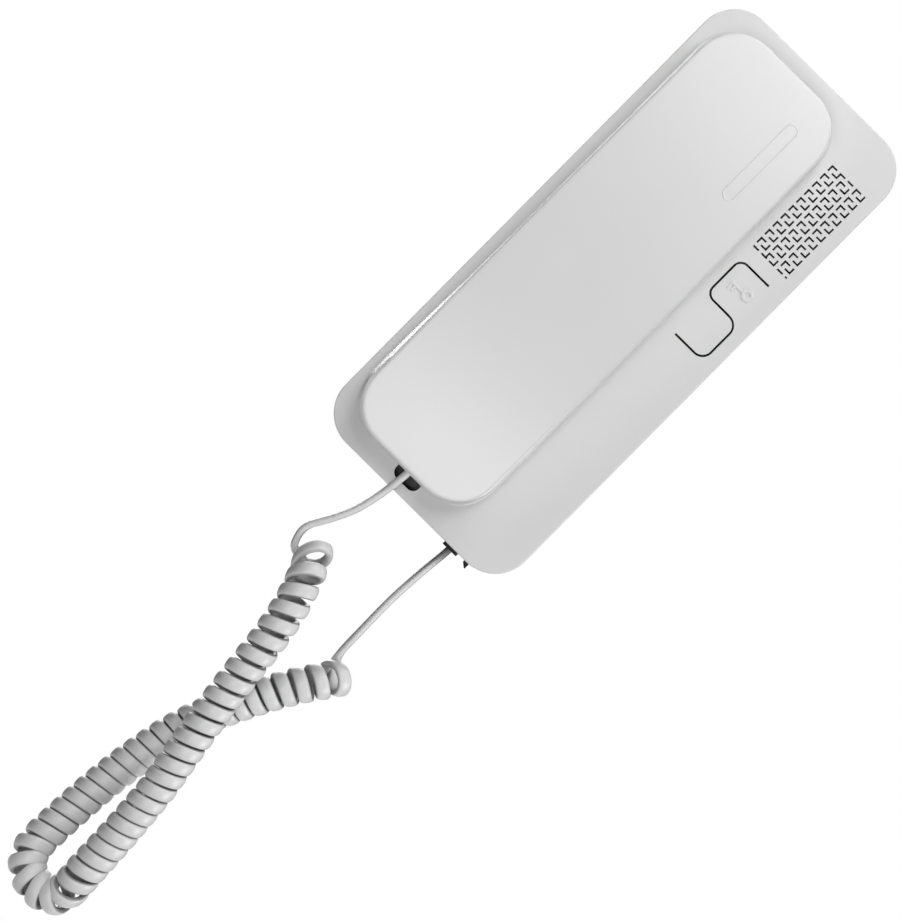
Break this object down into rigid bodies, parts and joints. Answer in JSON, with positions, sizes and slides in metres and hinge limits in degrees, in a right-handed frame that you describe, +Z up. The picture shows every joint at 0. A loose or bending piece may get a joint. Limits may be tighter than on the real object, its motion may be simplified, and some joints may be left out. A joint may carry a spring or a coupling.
{
  "type": "slimline wall phone",
  "caption": "Slim white wall phone for a door-entry system: a flat base with grille, tongue keys and volume slider, and a hung handset on a curly cord.",
  "frame": {"origin": "midway between the two wall screws, on the wall plane", "axes": "+X to the right seen from the front, +Y into the wall, +Z up"},
  "size_m": [0.085, 0.0402, 0.3873],
  "materials": {
    "cover_white": "fine matte moulded white plastic",
    "handset_white": "smooth satin white plastic",
    "key_white": "fine matte moulded white plastic, as the cover",
    "cord_white": "satin white cord jacket",
    "black_plastic": "matte black plastic",
    "black_rubber": "matte black rubber",
    "steel": "plain zinc-plated steel",
    "board_green": "green solder mask",
    "terminal_green": "green plastic",
    "ivory_plastic": "ivory plastic",
    "grey_parts": "dark grey",
    "wire_red": "wire insulation"
  },
  "bodies": {
    "base": {"back_plate": "cover_white", "front_cover": "cover_white", "cord_well": "black_plastic", "cover_screw": "steel", "main_board": "board_green", "board_screws": "steel", "terminal_block": "terminal_green", "terminal_screws": "steel", "board_capacitors": "grey_parts", "board_chip": "black_plastic", "hook_switch": "black_plastic", "hook_spring": "steel", "door_key_switch": "black_plastic", "service_key_switch": "black_plastic", "volume_switch": "steel", "speaker_frame": "steel", "speaker_cone": "grey_parts", "speaker_magnet": "steel", "speaker_leads": "wire_red", "speaker_header": "ivory_plastic", "base_cord_grommet": "black_rubber", "cord_leads": "wire_red", "cord_header": "ivory_plastic", "cord_base_tail": "cord_white", "cord_coil": "cord_white", "cord_handset_tail": "cord_white"},
    "handset": {"handset_front_shell": "handset_white", "handset_rear_shell": "handset_white", "handset_screws": "steel", "receiver_capsule": "steel", "receiver_gasket": "grey_parts", "microphone_capsule": "steel", "microphone_boot": "black_rubber", "handset_cord_grommet": "black_rubber", "handset_leads": "wire_red"},
    "hook_plunger": {"hook_plunger": "cover_white"},
    "door_key": {"door_release_key": "key_white"},
    "service_key": {"service_key": "key_white"},
    "door_switch_button": {"door_key_plunger": "ivory_plastic"},
    "service_switch_button": {"service_key_plunger": "ivory_plastic"},
    "volume_slider": {"volume_slider": "black_plastic"}
  },
  "joints": [
    {"name": "handset_lift", "type": "slide", "parent": "base", "child": "handset", "axis": [0, -0.9848, 0.1736], "range_m": [0, 0.04]},
    {"name": "hook_plunger_slide", "type": "slide", "parent": "base", "child": "hook_plunger", "axis": [0, -1, 0], "range_m": [0, 0.004], "stiffness_N_per_m": 15, "springref_m": 0.008, "deforming": ["hook_spring"]},
    {"name": "door_key_press", "type": "hinge", "parent": "base", "child": "door_key", "pos_m": [0.0356, -0.022, 0.0294], "axis": [0, 0, -1], "range_deg": [0, 3], "stiffness_Nm_per_rad": 0.2},
    {"name": "service_key_press", "type": "hinge", "parent": "base", "child": "service_key", "pos_m": [0.0244, -0.022, 0.0126], "axis": [0, 0, 1], "range_deg": [0, 3], "stiffness_Nm_per_rad": 0.2},
    {"name": "door_switch_press", "type": "slide", "parent": "base", "child": "door_switch_button", "axis": [0, 1, 0], "range_m": [0, 0.0006]},
    {"name": "service_switch_press", "type": "slide", "parent": "base", "child": "service_switch_button", "axis": [0, 1, 0], "range_m": [0, 0.0006]},
    {"name": "volume_slide", "type": "slide", "parent": "base", "child": "volume_slider", "axis": [1, 0, 0], "range_m": [-0.002, 0.002]}
  ],
  "couplings": [
    {"joint": "hook_plunger_slide", "follows": "handset_lift", "ratio": 0.0995},
    {"joint": "door_switch_press", "follows": "door_key_press", "m_per_rad": 0.01},
    {"joint": "service_switch_press", "follows": "service_key_press", "m_per_rad": 0.01}
  ]
}
